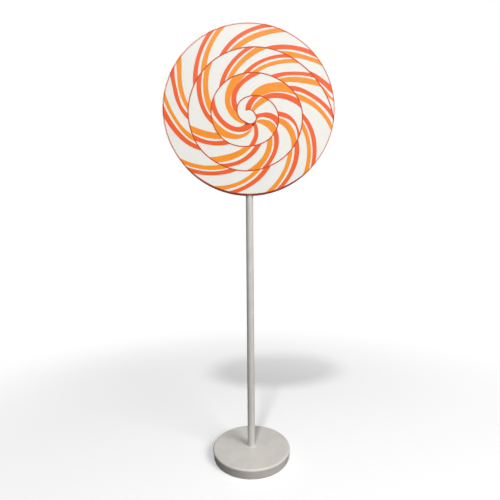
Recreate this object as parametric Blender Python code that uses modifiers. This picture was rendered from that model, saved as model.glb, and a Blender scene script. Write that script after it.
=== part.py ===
"""A large swirl lollipop on its own stand, as used for display.

A round, flat disc stands upright on a straight round pole, and the pole
stands in a heavy round base. Units are metres and +Z is up. The origin is
the middle of the base's underside, and the disc's front faces -Y.
"""

import math

import bmesh
import bpy

# Driving dimensions
DISC_RADIUS = 0.400
DISC_THICKNESS = 0.045
DISC_CENTRE_HEIGHT = 1.620
DISC_EDGE_ROUNDING = 0.0015

POLE_RADIUS = 0.017
POLE_END_CHAMFER = 0.0015
POLE_INSERTION_IN_DISC = 0.120
POLE_INSERTION_IN_BASE = 0.030

BASE_RADIUS = 0.1795
BASE_FOOT_RADIUS = 0.1740
BASE_HEIGHT = 0.0435
BASE_TOP_ROUNDING = 0.0075
BASE_FOOT_ROUNDING = 0.003
COLLAR_WALL = 0.0007
COLLAR_FLARE = 0.0035

CLEARANCE = 0.0003

# Smoothness of the turned shapes
DISC_STEPS = 144
BASE_STEPS = 96
POLE_STEPS = 48
TOP_ARC_STEPS = 6
SMALL_ARC_STEPS = 3
MERGE_DISTANCE = 0.0001
SHARP_ANGLE = math.radians(40.0)
QUARTER_TURN = math.pi / 2.0

# Heights that follow from the driving dimensions
DISC_BOTTOM = DISC_CENTRE_HEIGHT - DISC_RADIUS
POLE_TOP = DISC_BOTTOM + POLE_INSERTION_IN_DISC
POLE_BOTTOM = BASE_HEIGHT - POLE_INSERTION_IN_BASE

# Finishes: linear colour, roughness, metallic
WARM_GREY_PAINT = ((0.60, 0.58, 0.54, 1.0), 0.45, 0.0)
CREAM_WHITE_BOARD = ((0.87, 0.86, 0.82, 1.0), 0.50, 0.0)


def clear_scene():
    """Remove every object that is already in the scene."""
    for item in list(bpy.data.objects):
        bpy.data.objects.remove(item, do_unlink=True)


def new_collection(name):
    """Return a new collection, linked to the scene."""
    collection = bpy.data.collections.new(name)
    bpy.context.scene.collection.children.link(collection)
    return collection


def make_material(name, finish):
    """Return a Principled BSDF material for one sub-part."""
    colour, roughness, metallic = finish
    material = bpy.data.materials.new(name)
    material.use_nodes = True
    material.diffuse_color = colour
    shader = material.node_tree.nodes["Principled BSDF"]
    shader.inputs["Base Color"].default_value = colour
    shader.inputs["Roughness"].default_value = roughness
    shader.inputs["Metallic"].default_value = metallic
    return material


def arc(centre_r, centre_z, radius, start, end, steps):
    """Return the points of an arc in the profile's (r, z) plane."""
    points = []
    for step in range(steps + 1):
        angle = start + (end - start) * step / steps
        r = centre_r + radius * math.cos(angle)
        z = centre_z + radius * math.sin(angle)
        points.append((r, z))
    return points


def turned(name, profile, steps, collection):
    """Turn an (r, z) profile about Z with a Screw modifier.

    The profile runs from the top of the axis, down the outer side, and
    back to the axis at the bottom.
    """
    mesh = bpy.data.meshes.new(name)
    vertices = [(r, 0.0, z) for r, z in profile]
    edges = [(index, index + 1) for index in range(len(profile) - 1)]
    mesh.from_pydata(vertices, edges, [])
    piece = bpy.data.objects.new(name, mesh)
    collection.objects.link(piece)
    screw = piece.modifiers.new("Turn", "SCREW")
    screw.axis = "Z"
    screw.angle = 2.0 * math.pi
    screw.steps = steps
    screw.render_steps = steps
    screw.use_merge_vertices = True
    screw.merge_threshold = MERGE_DISTANCE
    screw.use_smooth_shade = True
    return piece


def round_bar(name, radius, bottom, top, collection):
    """Make a solid round bar about Z between two heights."""
    shape = bmesh.new()
    length = top - bottom
    bmesh.ops.create_cone(
        shape,
        cap_ends=True,
        segments=POLE_STEPS,
        radius1=radius,
        radius2=radius,
        depth=length,
    )
    mesh = bpy.data.meshes.new(name)
    shape.to_mesh(mesh)
    shape.free()
    mesh.shade_smooth()
    mesh.set_sharp_from_angle(angle=SHARP_ANGLE)
    piece = bpy.data.objects.new(name, mesh)
    piece.location = (0.0, 0.0, bottom + length / 2.0)
    collection.objects.link(piece)
    return piece


def bore(piece, name, bottom, top, collection):
    """Cut a vertical bore that clears the pole, between two heights."""
    cutter = round_bar(name, POLE_RADIUS + CLEARANCE, bottom, top, collection)
    cutter.hide_render = True
    cutter.display_type = "WIRE"
    cut = piece.modifiers.new("Bore", "BOOLEAN")
    cut.operation = "DIFFERENCE"
    cut.solver = "EXACT"
    cut.object = cutter


def base_profile():
    """Outline of the base: flared collar, flat top, round edge, side that draws in."""
    collar_r = POLE_RADIUS + CLEARANCE + COLLAR_WALL
    collar_z = BASE_HEIGHT + COLLAR_FLARE
    top_arc_r = BASE_RADIUS - BASE_TOP_ROUNDING
    top_arc_z = BASE_HEIGHT - BASE_TOP_ROUNDING
    foot_arc_r = BASE_FOOT_RADIUS - BASE_FOOT_ROUNDING
    profile = [(0.0, collar_z)]
    profile += arc(
        collar_r + COLLAR_FLARE,
        collar_z,
        COLLAR_FLARE,
        2.0 * QUARTER_TURN,
        3.0 * QUARTER_TURN,
        SMALL_ARC_STEPS,
    )
    profile += arc(top_arc_r, top_arc_z, BASE_TOP_ROUNDING, QUARTER_TURN, 0.0, TOP_ARC_STEPS)
    profile += arc(foot_arc_r, BASE_FOOT_ROUNDING, BASE_FOOT_ROUNDING, 0.0, -QUARTER_TURN, SMALL_ARC_STEPS)
    profile.append((0.0, 0.0))
    return profile


def disc_profile():
    """Outline of the disc about its own axis: two flat faces, eased edges."""
    half = DISC_THICKNESS / 2.0
    arc_r = DISC_RADIUS - DISC_EDGE_ROUNDING
    arc_z = half - DISC_EDGE_ROUNDING
    profile = [(0.0, half)]
    profile += arc(arc_r, arc_z, DISC_EDGE_ROUNDING, QUARTER_TURN, 0.0, SMALL_ARC_STEPS)
    profile += arc(arc_r, -arc_z, DISC_EDGE_ROUNDING, 0.0, -QUARTER_TURN, SMALL_ARC_STEPS)
    profile.append((0.0, -half))
    return profile


def build_base(parts, cutters):
    """Build the weighted base with its collar and socket for the pole."""
    base = turned("base", base_profile(), BASE_STEPS, parts)
    socket_bottom = POLE_BOTTOM - CLEARANCE
    bore(base, "base_socket_cutter", socket_bottom, BASE_HEIGHT + POLE_RADIUS, cutters)
    base.data.materials.append(make_material("base_paint", WARM_GREY_PAINT))
    return base


def build_pole(parts):
    """Build the straight pole that stands in the base and holds the disc."""
    pole = round_bar("pole", POLE_RADIUS, POLE_BOTTOM, POLE_TOP, parts)
    chamfer = pole.modifiers.new("End chamfer", "BEVEL")
    chamfer.width = POLE_END_CHAMFER
    chamfer.segments = 1
    chamfer.limit_method = "ANGLE"
    chamfer.angle_limit = SHARP_ANGLE
    pole.data.materials.append(make_material("pole_paint", WARM_GREY_PAINT))
    return pole


def build_disc(parts, cutters):
    """Build the upright disc with the hole in its edge for the pole."""
    disc = turned("disc", disc_profile(), DISC_STEPS, parts)
    disc.location = (0.0, 0.0, DISC_CENTRE_HEIGHT)
    disc.rotation_euler = (QUARTER_TURN, 0.0, 0.0)
    bore(disc, "disc_bore_cutter", DISC_BOTTOM - DISC_THICKNESS, POLE_TOP + CLEARANCE, cutters)
    disc.data.materials.append(make_material("disc_board", CREAM_WHITE_BOARD))
    return disc


def main():
    """Build the whole lollipop."""
    clear_scene()
    parts = new_collection("swirl_lollipop")
    cutters = new_collection("cutters")
    build_base(parts, cutters)
    build_pole(parts)
    build_disc(parts, cutters)


main()
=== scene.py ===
"""Finish, print, light and camera for a large swirl lollipop on its own stand.

The stand is a weighted round base with a straight pole, both in a warm grey
powder coat. The pole holds a flat upright disc. Both faces of the disc carry
the same printed candy swirl, and its edge is painted dark red.

Units are metres and +Z is up. The disc's front faces -Y and the origin is the
middle of the base's underside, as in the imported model.
"""

import logging
import math
from dataclasses import dataclass, field
from enum import Enum
from typing import Any, Sequence, Union

import bmesh
import bpy
from mathutils import Euler, Matrix, Vector


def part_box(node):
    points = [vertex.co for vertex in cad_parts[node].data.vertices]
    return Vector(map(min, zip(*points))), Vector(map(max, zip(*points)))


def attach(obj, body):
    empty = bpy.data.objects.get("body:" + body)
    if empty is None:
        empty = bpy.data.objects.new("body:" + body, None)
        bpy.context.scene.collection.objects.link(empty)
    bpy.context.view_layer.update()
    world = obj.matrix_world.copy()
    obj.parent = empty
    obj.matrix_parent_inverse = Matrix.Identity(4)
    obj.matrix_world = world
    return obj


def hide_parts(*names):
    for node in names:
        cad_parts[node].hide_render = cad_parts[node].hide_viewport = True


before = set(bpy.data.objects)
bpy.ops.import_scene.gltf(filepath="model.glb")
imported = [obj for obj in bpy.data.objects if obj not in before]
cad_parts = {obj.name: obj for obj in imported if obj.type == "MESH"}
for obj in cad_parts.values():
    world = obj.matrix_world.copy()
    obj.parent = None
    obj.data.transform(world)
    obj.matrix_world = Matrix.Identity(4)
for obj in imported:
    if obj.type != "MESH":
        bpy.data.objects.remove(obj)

LOG = logging.getLogger("swirl_lollipop")
BODY = "root"
FULL_TURN = 2.0 * math.pi
QUARTER_TURN = math.pi / 2.0
MM = 0.001

Point = tuple[float, float]
Grid = list[list[Point]]
Colour = tuple[float, float, float]


# --------------------------------------------------------------------------
# Shader trees
# --------------------------------------------------------------------------


class Value:
    """A shader number: Python's operators on it add Math nodes."""

    def __init__(self, tree: "ShaderTree", socket: bpy.types.NodeSocket) -> None:
        """Keep the socket that carries the number, and its tree."""
        self.tree = tree
        self.socket = socket

    def _math(self, operation: str, first: "Operand", second: "Operand") -> "Value":
        """Add one Math node and return its result."""
        node = self.tree.node("ShaderNodeMath", {"operation": operation}, {0: first, 1: second})
        return Value(self.tree, node.outputs[0])

    def __add__(self, other: "Operand") -> "Value":
        """Return self + other."""
        return self._math("ADD", self, other)

    def __radd__(self, other: "Operand") -> "Value":
        """Return other + self."""
        return self._math("ADD", other, self)

    def __sub__(self, other: "Operand") -> "Value":
        """Return self - other."""
        return self._math("SUBTRACT", self, other)

    def __rsub__(self, other: "Operand") -> "Value":
        """Return other - self."""
        return self._math("SUBTRACT", other, self)

    def __mul__(self, other: "Operand") -> "Value":
        """Return self * other."""
        return self._math("MULTIPLY", self, other)

    def __rmul__(self, other: "Operand") -> "Value":
        """Return other * self."""
        return self._math("MULTIPLY", other, self)

    def __truediv__(self, other: "Operand") -> "Value":
        """Return self / other."""
        return self._math("DIVIDE", self, other)

    def __pow__(self, other: "Operand") -> "Value":
        """Return self to the power of other."""
        return self._math("POWER", self, other)

    def clamped(self) -> "Value":
        """Return the number held between 0 and 1."""
        node = self.tree.node("ShaderNodeClamp", {}, {"Value": self})
        return Value(self.tree, node.outputs[0])


Operand = Union[float, Value]


class ShaderTree:
    """Adds nodes to the tree of a material or a world."""

    def __init__(self, owner: Union[bpy.types.Material, bpy.types.World]) -> None:
        """Start an empty tree.

        Args:
            owner: the material or world that the tree belongs to.
        """
        owner.use_nodes = True
        self.nodes = owner.node_tree.nodes
        self.links = owner.node_tree.links
        self.nodes.clear()

    def node(
        self,
        kind: str,
        settings: dict[str, Any] | None = None,
        inputs: dict[Union[str, int], Any] | None = None,
    ) -> bpy.types.Node:
        """Add one node.

        Args:
            kind: the node's type.
            settings: its properties, which are set first.
            inputs: by socket name or number, a Value, a socket to link from,
                or a plain number, vector or colour.

        Returns:
            The new node.
        """
        made = self.nodes.new(kind)
        for name, setting in (settings or {}).items():
            setattr(made, name, setting)
        for key, given in (inputs or {}).items():
            if isinstance(given, Value):
                given = given.socket
            if isinstance(given, bpy.types.NodeSocket):
                self.links.new(given, made.inputs[key])
            elif isinstance(given, tuple) and len(given) == 3 and made.inputs[key].type == "RGBA":
                made.inputs[key].default_value = (*given, 1.0)
            else:
                made.inputs[key].default_value = given
        return made

    def value(self, node: bpy.types.Node, output: Union[str, int] = 0) -> Value:
        """Return one of a node's outputs as a number to calculate with."""
        return Value(self, node.outputs[output])

    def place(self) -> bpy.types.NodeSocket:
        """Return the point being shaded, in the object's own metres."""
        return self.node("ShaderNodeTexCoord").outputs["Object"]

    def noise(self, place: bpy.types.NodeSocket, grain: float, detail: float = 2.0) -> Value:
        """Return a soft noise from 0 to 1.

        Args:
            place: the coordinates to read.
            grain: the size of one lump in metres.
            detail: how many finer layers are added.
        """
        made = self.node(
            "ShaderNodeTexNoise",
            {"noise_dimensions": "3D"},
            {"Vector": place, "Scale": 1.0 / grain, "Detail": detail, "Roughness": 0.55},
        )
        return self.value(made, 0)

    def blend(self, share: Operand, first: Any, second: Any) -> bpy.types.NodeSocket:
        """Return a colour between first and second, at the given share."""
        made = self.node(
            "ShaderNodeMix",
            {"data_type": "RGBA", "clamp_factor": True},
            {0: share, 6: first, 7: second},
        )
        return made.outputs[2]

    def span(self, number: Operand, low: float, high: float) -> Value:
        """Return number as a share of the way from low to high, held in 0 to 1."""
        made = self.node(
            "ShaderNodeMapRange",
            {"interpolation_type": "SMOOTHSTEP"},
            {"Value": number, "From Min": low, "From Max": high},
        )
        return self.value(made)

    def bump(self, height: Value, depth: float, strength: float) -> bpy.types.NodeSocket:
        """Return a normal that follows a height map of the given depth in metres."""
        made = self.node(
            "ShaderNodeBump",
            {},
            {"Height": height, "Distance": depth, "Strength": strength},
        )
        return made.outputs[0]


def new_material(name: str) -> tuple[bpy.types.Material, ShaderTree]:
    """Return a new material and its empty tree."""
    material = bpy.data.materials.new(name)
    return material, ShaderTree(material)


def finish_surface(tree: ShaderTree, inputs: dict[Union[str, int], Any]) -> None:
    """Add the Principled shader with these inputs and join it to the output."""
    surface = tree.node("ShaderNodeBsdfPrincipled", {}, inputs)
    tree.node("ShaderNodeOutputMaterial", {}, {"Surface": surface.outputs[0]})


# --------------------------------------------------------------------------
# Finishes
# --------------------------------------------------------------------------


def shade(colour: Colour, factor: float) -> Colour:
    """Return the colour made lighter or darker by a factor."""
    return tuple(min(channel * factor, 1.0) for channel in colour)


@dataclass(frozen=True)
class PowderCoat:
    """Satin powder coat: a fine orange peel, faint mottling, and painted shade in patches along the
    foot, darker towards the floor.
    """

    name: str
    colour: Colour
    # Painted shade: the shaded grey that the lowest edge of the foot is darkened towards.
    foot_shade: Colour = (0.30, 0.285, 0.26)
    sheen_low: float = 0.40
    sheen_high: float = 0.52
    mottle: float = 0.035
    mottle_size: float = 0.055
    peel_size: float = 1.6 * MM
    peel_depth: float = 0.05 * MM
    foot_shade_height: float = 5.0 * MM

    def material(self) -> bpy.types.Material:
        """Return the finish as a material."""
        material, tree = new_material(self.name)
        place = tree.place()
        cloud = tree.noise(place, self.mottle_size, 4.0)
        share = tree.span(cloud, 0.32, 0.68)
        paint = tree.blend(
            share, shade(self.colour, 1.0 - self.mottle), shade(self.colour, 1.0 + self.mottle)
        )
        parts = tree.node("ShaderNodeSeparateXYZ", {}, {0: place})
        height = tree.value(parts, "Z")
        # Painted shade: below the set height the coat is darkened in noisy patches towards that grey,
        # most at the floor, where the foot is in shade.
        shade_patches = tree.noise(place, 0.012, 3.0)
        low = 1.0 - tree.span(height, 0.0, self.foot_shade_height)
        painted_shade = (low * tree.span(shade_patches, 0.35, 0.7)).clamped()
        peel = tree.noise(place, self.peel_size, 1.0)
        finish_surface(
            tree,
            {
                "Base Color": tree.blend(painted_shade * 0.6, paint, self.foot_shade),
                "Roughness": share * (self.sheen_high - self.sheen_low) + self.sheen_low,
                "Normal": tree.bump(peel, self.peel_depth, 0.5),
            },
        )
        return material


@dataclass(frozen=True)
class PrintedBoard:
    """Cream-white satin board: the bare face of the disc."""

    name: str = "disc_cream_board"
    colour: Colour = (0.845, 0.842, 0.794)
    variation: float = 0.012
    cloud_size: float = 0.09
    roughness: float = 0.45
    grain_size: float = 0.9 * MM
    grain_depth: float = 0.012 * MM

    def material(self) -> bpy.types.Material:
        """Return the finish as a material."""
        material, tree = new_material(self.name)
        place = tree.place()
        share = tree.span(tree.noise(place, self.cloud_size, 3.0), 0.3, 0.7)
        grain = tree.noise(place, self.grain_size, 2.0)
        finish_surface(
            tree,
            {
                "Base Color": tree.blend(
                    share,
                    shade(self.colour, 1.0 - self.variation),
                    shade(self.colour, 1.0 + self.variation),
                ),
                "Roughness": self.roughness + grain * 0.05,
                "Specular IOR Level": 0.5,
                "Normal": tree.bump(grain, self.grain_depth, 0.4),
            },
        )
        return material


@dataclass(frozen=True)
class CandyInk:
    """Satin ink: one colour of the swirl, with the faint unevenness of a large print."""

    name: str
    colour: Colour
    gloss: float = 0.5
    variation: float = 0.03
    cloud_size: float = 0.05
    roughness: float = 0.45
    grain_size: float = 0.9 * MM

    def material(self) -> bpy.types.Material:
        """Return the finish as a material."""
        material, tree = new_material(self.name)
        place = tree.place()
        share = tree.span(tree.noise(place, self.cloud_size, 3.0), 0.3, 0.7)
        grain = tree.noise(place, self.grain_size, 2.0)
        finish_surface(
            tree,
            {
                "Base Color": tree.blend(
                    share,
                    shade(self.colour, 1.0 - self.variation),
                    shade(self.colour, 1.0 + self.variation),
                ),
                "Roughness": self.roughness + grain * 0.05,
                "Specular IOR Level": self.gloss,
                "Normal": tree.bump(grain, 0.012 * MM, 0.4),
            },
        )
        return material


@dataclass(frozen=True)
class EdgePaint:
    """Dark red paint on the disc's cut edge, with the board's layers showing faintly."""

    name: str = "disc_edge_paint"
    colour: Colour = (0.850, 0.150, 0.120)
    roughness: float = 0.5
    layer_size: float = 3.0 * MM

    def material(self) -> bpy.types.Material:
        """Return the finish as a material."""
        material, tree = new_material(self.name)
        place = tree.place()
        stretched = tree.node(
            "ShaderNodeVectorMath", {"operation": "MULTIPLY"}, {0: place, 1: (0.15, 1.0, 0.15)}
        )
        layers = tree.noise(stretched.outputs[0], self.layer_size, 2.0)
        share = tree.span(layers, 0.3, 0.7)
        finish_surface(
            tree,
            {
                "Base Color": tree.blend(share, shade(self.colour, 0.88), shade(self.colour, 1.12)),
                "Roughness": self.roughness + share * 0.1,
                "Normal": tree.bump(layers, 0.08 * MM, 0.5),
            },
        )
        return material


# --------------------------------------------------------------------------
# Meshes
# --------------------------------------------------------------------------


def arc(centre: Point, radius: float, start: float, end: float, steps: int) -> list[Point]:
    """Return the points of an arc in a profile's plane.

    Args:
        centre: the arc's centre.
        radius: its radius; the angles are in radians.
        start: the angle of the first point.
        end: the angle of the last point.
        steps: how many equal steps lie between them.
    """
    points = []
    for step in range(steps + 1):
        angle = start + (end - start) * step / steps
        points.append((centre[0] + radius * math.cos(angle), centre[1] + radius * math.sin(angle)))
    return points


def turned(profile: Sequence[Point], segments: int, closed: bool = False) -> bmesh.types.BMesh:
    """Turn a profile of (radius, height) points once about Z.

    Args:
        profile: the outline. Its ends lie on the axis unless it is closed.
        segments: how many steps make the full turn.
        closed: whether the last point joins the first, which makes a ring.

    Returns:
        The closed shape, as a bmesh that the caller frees.
    """
    shape = bmesh.new()
    rings: list[list[bmesh.types.BMVert]] = []
    for radius, height in profile:
        if radius < 1e-9:
            rings.append([shape.verts.new((0.0, 0.0, height))])
            continue
        ring = []
        for step in range(segments):
            angle = FULL_TURN * step / segments
            ring.append(shape.verts.new((radius * math.cos(angle), radius * math.sin(angle), height)))
        rings.append(ring)
    pairs = list(zip(rings, rings[1:]))
    if closed:
        pairs.append((rings[-1], rings[0]))
    for upper, lower in pairs:
        for step in range(segments):
            after = (step + 1) % segments
            corners = [upper[step % len(upper)], lower[step % len(lower)]]
            if len(lower) > 1:
                corners.append(lower[after])
            if len(upper) > 1:
                corners.append(upper[after])
            shape.faces.new(corners)
    bmesh.ops.recalc_face_normals(shape, faces=shape.faces)
    return shape


def slab(shape: bmesh.types.BMesh, grid: Grid, inner: float, outer: float) -> None:
    """Add a thin closed slab that follows a grid of points on the disc's front face.

    Args:
        shape: the bmesh that gets the slab.
        grid: rows of (right, up) points about the disc's centre.
        inner: distance of the slab's hidden side from the disc's middle plane.
        outer: distance of its visible side from that plane.
    """
    rows, columns = len(grid), len(grid[0])
    top = [[shape.verts.new((x, -outer, z)) for x, z in row] for row in grid]
    under = [[shape.verts.new((x, -inner, z)) for x, z in row] for row in grid]
    for i in range(rows - 1):
        for j in range(columns - 1):
            shape.faces.new((top[i][j], top[i][j + 1], top[i + 1][j + 1], top[i + 1][j]))
            shape.faces.new((under[i][j], under[i + 1][j], under[i + 1][j + 1], under[i][j + 1]))
    border = [(0, j) for j in range(columns)]
    border += [(i, columns - 1) for i in range(1, rows)]
    border += [(rows - 1, j) for j in range(columns - 2, -1, -1)]
    border += [(i, 0) for i in range(rows - 2, 0, -1)]
    for (i, j), (k, m) in zip(border, border[1:] + border[:1]):
        shape.faces.new((top[i][j], under[i][j], under[k][m], top[k][m]))


def add_piece(
    name: str,
    shape: bmesh.types.BMesh,
    material: bpy.types.Material,
    place: Matrix = Matrix.Identity(4),
    sharp: float = math.radians(40.0),
) -> bpy.types.Object:
    """Make a visible piece of a bmesh, in place, and let it ride on the body.

    Args:
        name: the piece's name.
        shape: its shape, which is freed.
        material: its finish.
        place: a transform that is applied to the mesh.
        sharp: edges that turn by more than this angle stay crisp.

    Returns:
        The new object.
    """
    bmesh.ops.transform(shape, matrix=place, verts=shape.verts)
    mesh = bpy.data.meshes.new(name)
    shape.to_mesh(mesh)
    shape.free()
    mesh.shade_smooth()
    mesh.set_sharp_from_angle(angle=sharp)
    mesh.materials.append(material)
    piece = bpy.data.objects.new(name, mesh)
    bpy.context.scene.collection.objects.link(piece)
    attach(piece, BODY)
    LOG.info("%s: %d faces", name, len(mesh.polygons))
    return piece


# --------------------------------------------------------------------------
# The swirl
# --------------------------------------------------------------------------


class Candy(Enum):
    """The two candy colours of the swirl."""

    RED = "red"
    AMBER = "amber"


class Side(Enum):
    """The disc's two faces. The value is how far the print is turned about Z."""

    FRONT = 0.0
    BACK = math.pi

    @property
    def label(self) -> str:
        """Return the face's name in lower case."""
        return self.name.lower()


Knots = tuple[tuple[float, float], ...]


def on_curve(knots: Knots, at: float) -> float:
    """Return the height at a place on a smooth curve through (place, height) knots.

    Args:
        knots: at least two knots, in order of place.
        at: the place, which is held between the first knot and the last.
    """
    slopes = []
    for index, here in enumerate(knots):
        before, after = knots[max(index - 1, 0)], knots[min(index + 1, len(knots) - 1)]
        gradients = [
            (b[1] - a[1]) / (b[0] - a[0]) for a, b in ((before, here), (here, after)) if a != b
        ]
        slopes.append(sum(gradients) / len(gradients))
    index = 0
    while index < len(knots) - 2 and at > knots[index + 1][0]:
        index += 1
    (x0, y0), (x1, y1) = knots[index], knots[index + 1]
    width = x1 - x0
    t = min(max((at - x0) / width, 0.0), 1.0)
    rise = t * t * (3.0 - 2.0 * t)
    lead = (t**3 - 2.0 * t * t + t) * slopes[index]
    lag = (t**3 - t * t) * slopes[index + 1]
    return y0 + (y1 - y0) * rise + (lead + lag) * width


@dataclass(frozen=True)
class SpiralLine:
    """The thin line that winds outwards, by knots of (turn, radius in mm)."""

    knots_mm: Knots = (
        (-50, 33), (0, 24), (45, 19), (90, 22), (135, 33), (180, 41), (225, 43), (270, 60),
        (315, 79), (360, 89), (405, 106), (450, 127), (495, 138), (540, 144), (585, 169),
        (630, 185), (675, 194), (720, 197.5), (750, 206), (770, 218), (785, 229), (800, 236.5),
        (820, 241), (855, 247), (885, 252.5), (910, 262), (930, 270), (945, 277), (957, 283),
        (975, 287), (990, 291), (1010, 295.5), (1045, 306.5), (1080, 316), (1095, 320.5),
        (1110, 326), (1125, 332.5), (1140, 345), (1150, 356), (1160, 369), (1176, 388),
    )  # fmt: skip

    @property
    def first_turn(self) -> float:
        """Return the turn at which the line begins."""
        return self.knots_mm[0][0]

    @property
    def last_turn(self) -> float:
        """Return the turn at which the line has reached the face's edge."""
        return self.knots_mm[-1][0]

    def radius(self, turn: float) -> float:
        """Return the line's distance from the swirl's centre.

        Args:
            turn: degrees clockwise from straight up, counted on past 360.
        """
        return on_curve(self.knots_mm, turn) * MM


@dataclass(frozen=True)
class Stripe:
    """One candy stripe between two windings of the line.

    Each edge is a set of (share, turn) knots: share 0 lies on the inner
    winding and 1 on the outer one, and turn is in degrees clockwise.
    """

    candy: Candy
    left: Knots
    right: Knots

    @classmethod
    def even(cls, candy: Candy, left: Sequence[float], right: Sequence[float]) -> "Stripe":
        """Return a stripe from its edges' turns at even steps of the share."""
        knots = [
            tuple((step / (len(turns) - 1), turn) for step, turn in enumerate(turns))
            for turns in (left, right)
        ]
        return cls(candy, *knots)

    @property
    def start(self) -> float:
        """Return the share at which the stripe begins."""
        return max(self.left[0][0], self.right[0][0])


Turns = tuple[float, ...]


def twist(red: tuple[Turns, Turns], amber: tuple[Turns, Turns]) -> tuple[Stripe, Stripe]:
    """Return a red and an amber stripe that run side by side.

    Args:
        red: the turns of the red stripe's left edge at even steps from the
            inner winding to the outer one, then those of its right edge.
        amber: the same for the amber stripe.
    """
    return Stripe.even(Candy.RED, *red), Stripe.even(Candy.AMBER, *amber)


def swirl_stripes() -> list[Stripe]:
    """Return every stripe of the swirl, from its core outwards."""
    red, amber = Candy.RED, Candy.AMBER
    core = [
        Stripe(red, ((0, -50), (1, 8)), ((0, -2), (1, 26))),
        Stripe(amber, ((0, 5), (1, 34.5)), ((0, 38), (1, 51))),
        Stripe(
            red,
            ((0, 81), (0.5, 80), (0.75, 86), (1, 95)),
            ((0, 133), (0.13, 108), (0.5, 100), (0.75, 104), (1, 114)),
        ),
        Stripe(
            amber,
            ((0, 140), (0.13, 120), (0.5, 107), (0.75, 109), (1, 116.5)),
            ((0, 150), (0.13, 138), (0.5, 128), (0.75, 129), (1, 132)),
        ),
        Stripe(
            red,
            ((0, 144), (0.13, 148), (0.3, 152), (0.5, 157), (0.75, 165), (1, 174)),
            ((0, 175), (0.13, 168), (0.3, 168), (0.5, 171), (0.75, 178), (1, 185)),
        ),
        Stripe(
            amber,
            ((0.18, 170), (0.3, 178), (0.5, 191), (0.75, 212), (1, 240)),
            ((0.18, 171), (0.3, 188), (0.5, 207), (0.75, 245), (1, 271)),
        ),
        Stripe(
            red,
            ((0, 150), (0.3, 193), (0.5, 222), (0.75, 257), (1, 280)),
            ((0, 210), (0.3, 227), (0.5, 252), (0.75, 277), (1, 298)),
        ),
        Stripe(
            amber,
            ((0, 175), (0.13, 235), (0.3, 270), (0.5, 293), (0.75, 317), (1, 335)),
            ((0, 270), (0.13, 285), (0.3, 300), (0.5, 322), (0.75, 344), (1, 356)),
        ),
        Stripe(
            red,
            ((0, 272), (0.3, 304), (0.5, 322), (0.75, 345), (1, 361)),
            ((0, 305), (0.3, 326), (0.5, 342), (0.75, 361), (1, 375)),
        ),
        Stripe.even(amber, (357, 405.5), (389, 427)),
        Stripe.even(red, (390, 431), (406, 443)),
    ]
    twists = [
        twist(
            ((441.5, 445.5, 451, 460, 471), (452, 454.5, 458, 465, 477.5)),
            ((455.5, 457.5, 463.5, 470.5, 480), (466, 469, 474.5, 481.5, 490.5)),
        ),
        twist(((477.5, 499, 521.5), (491, 509, 529.5)), ((494.5, 512.5, 531.5), (507, 523.5, 545.5))),
        twist(((519, 542, 565), (532.5, 552, 573.5)), ((537.5, 558.5, 576), (552, 572, 585))),
        twist(((575.5, 591.5, 605.5), (586.5, 599, 612.5)), ((590, 602.5, 614), (602, 612.5, 621))),
        twist(((614.5, 640.5, 663), (627, 651, 673)), ((631, 655.5, 675.5), (647, 666.5, 685))),
        twist(((670, 694.5, 716.5), (681.5, 703, 723.5)), ((684.5, 707, 725), (695.5, 716.5, 734.5))),
        twist(((708.5, 729.5, 749.5), (717.5, 736, 756)), ((720.5, 740.5, 757.5), (729, 747.5, 763.5))),
        twist(((746, 762, 775), (754.5, 767.5, 780)), ((757, 770, 782.5), (765, 778.5, 788.5))),
        twist(
            ((771.5, 778.5, 788, 797, 806.5), (779.5, 786.5, 795, 803.5, 813.5)),
            ((782.5, 790.5, 798.5, 808, 818), (792.5, 798.5, 805.5, 814, 821.5)),
        ),
        twist(((807, 827, 846.5), (814, 834, 852)), ((817, 836.5, 853.5), (824.5, 842.5, 859.5))),
        twist(((836.5, 855.5, 876), (845, 863.5, 882)), ((848.5, 867, 883.5), (856.5, 873.5, 890))),
        twist(((878, 894.5, 911), (886.5, 901.5, 917)), ((889.5, 905, 921), (896.5, 911, 928.5))),
        twist(((913.5, 930, 945.5), (921.5, 936.5, 952)), ((923.5, 939, 954), (932, 945.5, 960))),
        twist(
            ((954, 961, 969.5, 979.5, 989.5), (960.5, 968.5, 978.5, 988.5, 997.5)),
            ((964, 971.5, 982.5, 992, 1000.5), (971, 979, 988.5, 997.5, 1006)),
        ),
        twist(
            ((985, 992, 1000.5, 1010, 1017), (991, 997.5, 1007.5, 1015.5, 1023.5)),
            ((993.5, 1001.5, 1010, 1019, 1025.5), (999.5, 1008, 1017, 1025.5, 1031)),
        ),
        twist(
            ((1016, 1036, 1052.5), (1025, 1042, 1058)),
            ((1029.5, 1045.5, 1059.5), (1037.5, 1051.5, 1065)),
        ),
        twist(
            ((1051, 1069, 1088.5), (1058, 1076, 1095.5)),
            ((1060.5, 1080.5, 1098), (1070.5, 1089.5, 1104)),
        ),
        twist(
            ((1091, 1109, 1123.5), (1100.5, 1117, 1130.5)),
            ((1103.5, 1121, 1131.5), (1115.5, 1127.5, 1136.5)),
        ),
        twist(
            ((1132, 1143, 1150), (1142.5, 1152, 1156)),
            ((1145.5, 1156, 1158.5), (1156.5, 1159, 1161.5)),
        ),
    ]
    return core + [stripe for pair in twists for stripe in pair]


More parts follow.
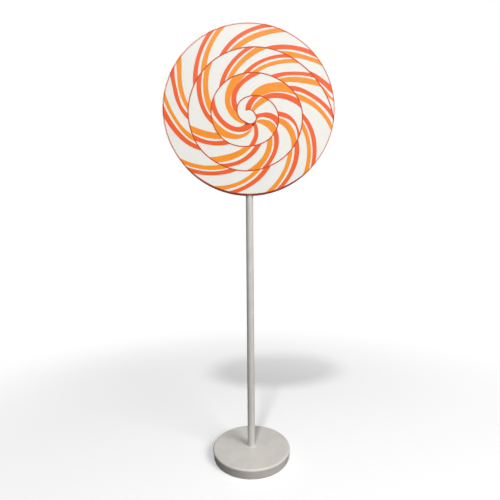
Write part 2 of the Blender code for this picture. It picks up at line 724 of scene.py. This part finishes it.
@dataclass(frozen=True)
class Swirl:
    """The swirl as it lies on a disc's face, in (right, up) metres from its centre."""

    face_radius: float
    centre: Point = (10.0 * MM, -31.2 * MM)
    lean: float = 0.33
    line: SpiralLine = field(default_factory=SpiralLine)

    def reach(self, turn: float) -> float:
        """Return the distance from the swirl's centre to the face's edge at a turn."""
        angle = math.radians(turn + self.lean)
        along = self.centre[0] * math.sin(angle) + self.centre[1] * math.cos(angle)
        room = self.face_radius**2 - self.centre[0] ** 2 - self.centre[1] ** 2
        return math.sqrt(along * along + room) - along

    def winding(self, turn: float) -> float:
        """Return the line's radius, held inside the face."""
        return min(self.line.radius(turn), self.reach(turn))

    def radius(self, turn: float, share: float) -> float:
        """Return the radius at a share of the way from one winding to the next."""
        inner = self.winding(turn)
        outer = self.reach(turn)
        if turn + 360.0 <= self.line.last_turn:
            outer = self.winding(turn + 360.0)
        return inner + (outer - inner) * share

    def point(self, turn: float, radius: float) -> Point:
        """Return the point on the face at a turn and radius."""
        angle = math.radians(turn + self.lean)
        return (
            self.centre[0] + radius * math.sin(angle),
            self.centre[1] + radius * math.cos(angle),
        )


@dataclass
class SwirlPrint:
    """The printed swirl as thin films of ink on one face of the disc."""

    side: Side
    swirl: Swirl
    centre_height: float
    half_thickness: float
    inks: dict[str, bpy.types.Material]
    stripe_film: float = 0.20 * MM
    line_film: float = 0.35 * MM
    line_width: float = 5.4 * MM
    border_width: float = 3.0 * MM
    border_inset: float = 0.8 * MM
    border_centre: Point = (1.2 * MM, -1.2 * MM)
    stripe_rows: int = 36
    stripe_columns: int = 4
    line_step: float = 2.0
    border_steps: int = 240
    sunk: float = 0.05 * MM

    def stripe_grid(self, stripe: Stripe) -> Grid:
        """Return a stripe's grid, one row for each share between its windings."""
        grid = []
        for row in range(self.stripe_rows + 1):
            share = stripe.start + (1.0 - stripe.start) * row / self.stripe_rows
            left, right = on_curve(stripe.left, share), on_curve(stripe.right, share)
            turns = [
                left + (right - left) * column / self.stripe_columns
                for column in range(self.stripe_columns + 1)
            ]
            grid.append([self.swirl.point(turn, self.swirl.radius(turn, share)) for turn in turns])
        return grid

    def line_grid(self) -> Grid:
        """Return the spiral line's grid, three points across."""
        first, last = self.swirl.line.first_turn, self.swirl.line.last_turn
        steps = round((last - first) / self.line_step)
        half = self.line_width / 2.0
        grid = []
        for step in range(steps + 1):
            turn = first + (last - first) * step / steps
            middle, limit = self.swirl.line.radius(turn), self.swirl.reach(turn)
            radii = [min(middle + offset, limit) for offset in (-half, 0.0, half)]
            grid.append([self.swirl.point(turn, radius) for radius in radii])
        return grid

    def border_grid(self) -> Grid:
        """Return the grid of the border line, a ring that lies slightly off centre."""
        limit = self.swirl.face_radius
        outer = limit - self.border_inset
        grid = []
        for step in range(self.border_steps + 1):
            angle = FULL_TURN * step / self.border_steps
            row = []
            for radius in (outer - self.border_width, outer):
                across = self.border_centre[0] + radius * math.sin(angle)
                up = self.border_centre[1] + radius * math.cos(angle)
                hold = min(1.0, limit / math.hypot(across, up))
                row.append((across * hold, up * hold))
            grid.append(row)
        return grid

    def film(self, name: str, grids: Sequence[Grid], thickness: float, slot: str) -> None:
        """Make one film of ink.

        Args:
            name: what the film shows, such as the red stripes.
            grids: the outlines to cover.
            thickness: how far the film stands proud of the face.
            slot: the name of the film's ink in the inks table.
        """
        shape = bmesh.new()
        inner = self.half_thickness - self.sunk
        for grid in grids:
            slab(shape, grid, inner, self.half_thickness + thickness)
        bmesh.ops.remove_doubles(shape, verts=shape.verts, dist=0.001 * MM)
        bmesh.ops.recalc_face_normals(shape, faces=shape.faces)
        place = Matrix.Translation((0.0, 0.0, self.centre_height))
        place = place @ Matrix.Rotation(self.side.value, 4, "Z")
        add_piece(f"{self.side.label}_{name}", shape, self.inks[slot], place)

    def build(self) -> None:
        """Print the stripes, the spiral line over their ends, and the border."""
        stripes = swirl_stripes()
        for candy in Candy:
            grids = [self.stripe_grid(stripe) for stripe in stripes if stripe.candy is candy]
            label = f"{candy.value}_stripes"
            self.film(label, grids, self.stripe_film, f"candy_{candy.value}")
        self.film("spiral_line", [self.line_grid()], self.line_film, "candy_line")
        self.film("border_line", [self.border_grid()], self.line_film, "candy_line")


# --------------------------------------------------------------------------
# The stand and the disc
# --------------------------------------------------------------------------


@dataclass
class StandBase:
    """The weighted round base, with the flared collar and socket that hold the pole."""

    radius: float
    collar_top: float
    coat: bpy.types.Material
    foot_radius: float = 174.0 * MM
    top_rounding: float = 7.5 * MM
    foot_rounding: float = 3.0 * MM
    socket_radius: float = 17.3 * MM
    socket_depth: float = 30.3 * MM
    collar_wall: float = 0.7 * MM
    collar_flare: float = 3.5 * MM
    segments: int = 256

    def profile(self) -> list[Point]:
        """Return the outline, from the socket over the top to the underside."""
        height = self.collar_top - self.collar_flare
        top_r, top_z = self.radius - self.top_rounding, height - self.top_rounding
        foot_r, foot_z = self.foot_radius - self.foot_rounding, self.foot_rounding
        flare_r = self.socket_radius + self.collar_wall + self.collar_flare
        floor = height - self.socket_depth
        points = [(0.0, floor), (self.socket_radius, floor), (self.socket_radius, self.collar_top)]
        points += arc(
            (flare_r, self.collar_top), self.collar_flare, math.pi, math.pi + QUARTER_TURN, 8
        )
        points += [(flare_r + 0.002, height), (0.09, height), (top_r - 0.003, height)]
        points += arc((top_r, top_z), self.top_rounding, QUARTER_TURN, 0.0, 14)
        points += [(self.radius - 0.0004, top_z - 0.002)]
        points += arc((foot_r, foot_z), self.foot_rounding, 0.0, -QUARTER_TURN, 6)
        points += [(foot_r - 0.002, 0.0), (0.09, 0.0), (0.0, 0.0)]
        return points

    def build(self) -> None:
        """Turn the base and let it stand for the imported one."""
        piece = add_piece(
            "stand_base", turned(self.profile(), self.segments), self.coat
        )
        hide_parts("base")


@dataclass
class StandPole:
    """The straight round pole, from its socket to inside the disc's edge."""

    bottom: float
    top: float
    radius: float
    coat: bpy.types.Material
    chamfer: float = 1.5 * MM
    segments: int = 128
    rings: int = 12

    def profile(self) -> list[Point]:
        """Return the outline from the top end to the bottom end."""
        inner = self.radius - self.chamfer
        points = [(0.0, self.top), (inner, self.top)]
        high, low = self.top - self.chamfer, self.bottom + self.chamfer
        for ring in range(self.rings + 1):
            points.append((self.radius, high + (low - high) * ring / self.rings))
        points += [(inner, self.bottom), (0.0, self.bottom)]
        return points

    def build(self) -> None:
        """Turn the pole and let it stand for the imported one."""
        piece = add_piece(
            "stand_pole", turned(self.profile(), self.segments), self.coat
        )
        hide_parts("pole")


@dataclass
class CandyDisc:
    """The upright board with its painted edge and the swirl on both faces."""

    radius: float
    half_thickness: float
    centre_height: float
    board: bpy.types.Material
    edge: bpy.types.Material
    inks: dict[str, bpy.types.Material]
    edge_rounding: float = 1.5 * MM
    paint: float = 0.4 * MM
    segments: int = 288

    @property
    def place(self) -> Matrix:
        """Return the transform that stands a turned shape upright as the disc."""
        lift = Matrix.Translation((0.0, 0.0, self.centre_height))
        return lift @ Matrix.Rotation(QUARTER_TURN, 4, "X")

    def board_profile(self) -> list[Point]:
        """Return the board's outline, from the middle of one face to the other."""
        half, outer = self.half_thickness, self.radius - self.paint
        inner = self.radius - self.edge_rounding
        half_outline = [(0.0, half), (0.13, half), (0.26, half), (inner - 0.004, half)]
        half_outline += [(inner, half), (outer, half - self.edge_rounding)]
        return half_outline + [(r, -z) for r, z in reversed(half_outline)]

    def edge_profile(self) -> list[Point]:
        """Return the painted edge's closed outline, rounded at both corners."""
        centre_r = self.radius - self.edge_rounding
        centre_z = self.half_thickness - self.edge_rounding
        upper = arc((centre_r, centre_z), self.edge_rounding, QUARTER_TURN, 0.0, 6)
        lower = [(r, -z) for r, z in reversed(upper)]
        inside = self.radius - 3.0 * self.edge_rounding
        return upper + lower + [(inside, -centre_z), (inside, centre_z)]

    def build(self) -> None:
        """Make the board, its edge and both prints."""
        board = add_piece(
            "disc_board", turned(self.board_profile(), self.segments), self.board, self.place
        )
        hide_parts("disc")
        add_piece(
            "disc_edge",
            turned(self.edge_profile(), self.segments, closed=True),
            self.edge,
            self.place,
        )
        swirl = Swirl(face_radius=self.radius - self.edge_rounding)
        for side in Side:
            SwirlPrint(side, swirl, self.centre_height, self.half_thickness, self.inks).build()


# --------------------------------------------------------------------------
# Studio
# --------------------------------------------------------------------------


@dataclass(frozen=True)
class SoftBox:
    """A round soft light that is aimed at a height on the stand's axis.

    The level is how bright it makes a white surface that faces it squarely,
    where 1 is full white. The spread is the angle of its beam in degrees.
    """

    name: str
    azimuth: float
    elevation: float
    distance: float
    size: float
    level: float
    aim: float = 1.1
    spread: float = 180.0

    def build(self) -> None:
        """Hang the light and aim it."""
        azimuth, elevation = math.radians(self.azimuth), math.radians(self.elevation)
        away = Vector(
            (
                math.sin(azimuth) * math.cos(elevation),
                -math.cos(azimuth) * math.cos(elevation),
                math.sin(elevation),
            )
        )
        light = bpy.data.lights.new(self.name, "AREA")
        light.shape = "DISK"
        light.size = self.size
        light.energy = self.level * (math.pi * self.distance) ** 2
        light.spread = math.radians(self.spread)
        if self.spread < 180.0:
            half = light.spread / 2.0
            light.energy *= 1.0 - half / math.tan(half)
        lamp = bpy.data.objects.new(self.name, light)
        lamp.location = Vector((0.0, 0.0, self.aim)) + away * self.distance
        lamp.rotation_euler = away.to_track_quat("Z", "Y").to_euler()
        bpy.context.scene.collection.objects.link(lamp)


@dataclass(frozen=True)
class Studio:
    """A plain pale floor that fades into a white surround, and soft lights.

    The surround's own light is strongest from one direction, the glow's, and
    falls off to the faint light of the opposite side.
    """

    glow_from: tuple[float, float, float] = (0.10, -0.20, 0.97)
    glow: float = 0.37
    gloom: float = 0.0
    lights: tuple[SoftBox, ...] = (
        SoftBox("key_light", 46.0, 31.0, 8.0, 4.6, 0.79),
        SoftBox("fill_light", -11.0, 57.0, 8.0, 0.9, 0.51),
        SoftBox("low_light", 6.0, -24.0, 2.7, 0.8, 0.24, aim=1.2, spread=50.0),
    )
    floor_radius: float = 9.0
    fade_start: float = 0.7
    fade_end: float = 2.6
    floor_lift: float = 0.14
    floor_bounce: Colour = (0.175, 0.155, 0.145)

    def build_world(self) -> None:
        """Light the scene softly from all round, and show white behind it."""
        world = bpy.data.worlds.new("studio_surround")
        bpy.context.scene.world = world
        tree = ShaderTree(world)
        heading = tree.node("ShaderNodeTexCoord").outputs["Generated"]
        facing = tree.node(
            "ShaderNodeVectorMath",
            {"operation": "DOT_PRODUCT"},
            {0: heading, 1: tuple(Vector(self.glow_from).normalized())},
        )
        share = tree.span(tree.value(facing, "Value"), 0.3, 1.0)
        strength = share * (self.glow - self.gloom) + self.gloom
        soft = tree.node(
            "ShaderNodeBackground", {}, {"Color": (1.0, 1.0, 1.0), "Strength": strength}
        )
        white = tree.node("ShaderNodeBackground", {}, {"Color": (1.0, 1.0, 1.0), "Strength": 1.0})
        path = tree.node("ShaderNodeLightPath")
        surround = tree.node(
            "ShaderNodeMixShader",
            {},
            {0: path.outputs["Is Camera Ray"], 1: soft.outputs[0], 2: white.outputs[0]},
        )
        tree.node("ShaderNodeOutputWorld", {}, {"Surface": surround.outputs[0]})

    def floor_material(self) -> bpy.types.Material:
        """Return matt white near the stand that turns into a white glow far away.

        Light that the floor throws back at the stand comes from a duller
        surface, so that undersides stay in shade.
        """
        material, tree = new_material("studio_floor")
        place = tree.place()
        reach = tree.node("ShaderNodeVectorMath", {"operation": "LENGTH"}, {0: place})
        share = tree.span(tree.value(reach, "Value"), self.fade_start, self.fade_end)
        grain = tree.noise(place, 0.02, 3.0)
        near = tree.node(
            "ShaderNodeBsdfPrincipled",
            {},
            {
                "Base Color": tree.blend(grain, (0.85, 0.85, 0.85), (0.87, 0.87, 0.87)),
                "Roughness": 0.9,
                "Specular IOR Level": 0.1,
                "Emission Color": (1.0, 1.0, 1.0),
                "Emission Strength": self.floor_lift,
            },
        )
        far = tree.node("ShaderNodeEmission", {}, {"Color": (1.0, 1.0, 1.0), "Strength": 1.0})
        seen = tree.node("ShaderNodeMixShader", {}, {0: share, 1: near.outputs[0], 2: far.outputs[0]})
        bounce = tree.node(
            "ShaderNodeBsdfDiffuse", {}, {"Color": self.floor_bounce, "Roughness": 0.0}
        )
        path = tree.node("ShaderNodeLightPath")
        both = tree.node(
            "ShaderNodeMixShader",
            {},
            {0: path.outputs["Is Camera Ray"], 1: bounce.outputs[0], 2: seen.outputs[0]},
        )
        tree.node("ShaderNodeOutputMaterial", {}, {"Surface": both.outputs[0]})
        return material

    def build_floor(self) -> None:
        """Lay the floor."""
        shape = bmesh.new()
        bmesh.ops.create_circle(shape, cap_ends=True, segments=96, radius=self.floor_radius)
        mesh = bpy.data.meshes.new("studio_floor")
        shape.to_mesh(mesh)
        shape.free()
        mesh.materials.append(self.floor_material())
        floor = bpy.data.objects.new("studio_floor", mesh)
        bpy.context.scene.collection.objects.link(floor)

    def build(self) -> None:
        """Set up the floor, the surround and the lights."""
        self.build_world()
        self.build_floor()
        for light in self.lights:
            light.build()
        bpy.context.scene.view_settings.view_transform = "Standard"
        LOG.info("studio: floor, surround and %d lights", len(self.lights))


@dataclass(frozen=True)
class Viewpoint:
    """The camera: low in front of the stand, with a wide lens held level."""

    location: tuple[float, float, float] = (-0.0182, -1.5717, 0.9636)
    lens: float = 24.03
    sensor: float = 36.0
    yaw: float = -0.686
    pitch: float = -0.045
    roll: float = -0.457

    def build(self) -> None:
        """Make the camera and let the scene look through it."""
        camera = bpy.data.objects.new("view_camera", bpy.data.cameras.new("view_camera"))
        camera.data.lens = self.lens
        camera.data.sensor_width = self.sensor
        heading = Euler((0.0, 0.0, math.radians(self.yaw))).to_matrix()
        level = Euler((math.radians(90.0 + self.pitch), 0.0, 0.0)).to_matrix()
        cant = Euler((0.0, 0.0, math.radians(self.roll))).to_matrix()
        camera.matrix_world = Matrix.LocRotScale(self.location, heading @ level @ cant, None)
        bpy.context.scene.collection.objects.link(camera)
        bpy.context.scene.camera = camera


def main() -> None:
    """Build the base, the pole, the disc with its prints, and the studio."""
    logging.basicConfig(level=logging.INFO, format="%(name)s: %(message)s")
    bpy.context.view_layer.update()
    Viewpoint().build()

    base_coat = PowderCoat("base_powder_coat", (0.640, 0.612, 0.572)).material()
    pole_coat = PowderCoat("pole_powder_coat", (0.630, 0.612, 0.578)).material()
    inks = {
        "candy_red": CandyInk("candy_red_ink", (0.885, 0.112, 0.012)).material(),
        "candy_amber": CandyInk("candy_amber_ink", (0.915, 0.290, 0.008)).material(),
        "candy_line": CandyInk("candy_line_ink", (0.62, 0.07, 0.010), gloss=0.25).material(),
    }
    low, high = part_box("base")
    StandBase(radius=high.x, collar_top=high.z, coat=base_coat).build()
    low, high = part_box("pole")
    disc_low, disc_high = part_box("disc")
    StandPole(
        bottom=low.z, top=disc_low.z + 0.004, radius=high.x, coat=pole_coat
    ).build()
    CandyDisc(
        radius=disc_high.x,
        half_thickness=disc_high.y,
        centre_height=(disc_low.z + disc_high.z) / 2.0,
        board=PrintedBoard().material(),
        edge=EdgePaint().material(),
        inks=inks,
    ).build()
    Studio().build()


if __name__ == "__main__":
    main()
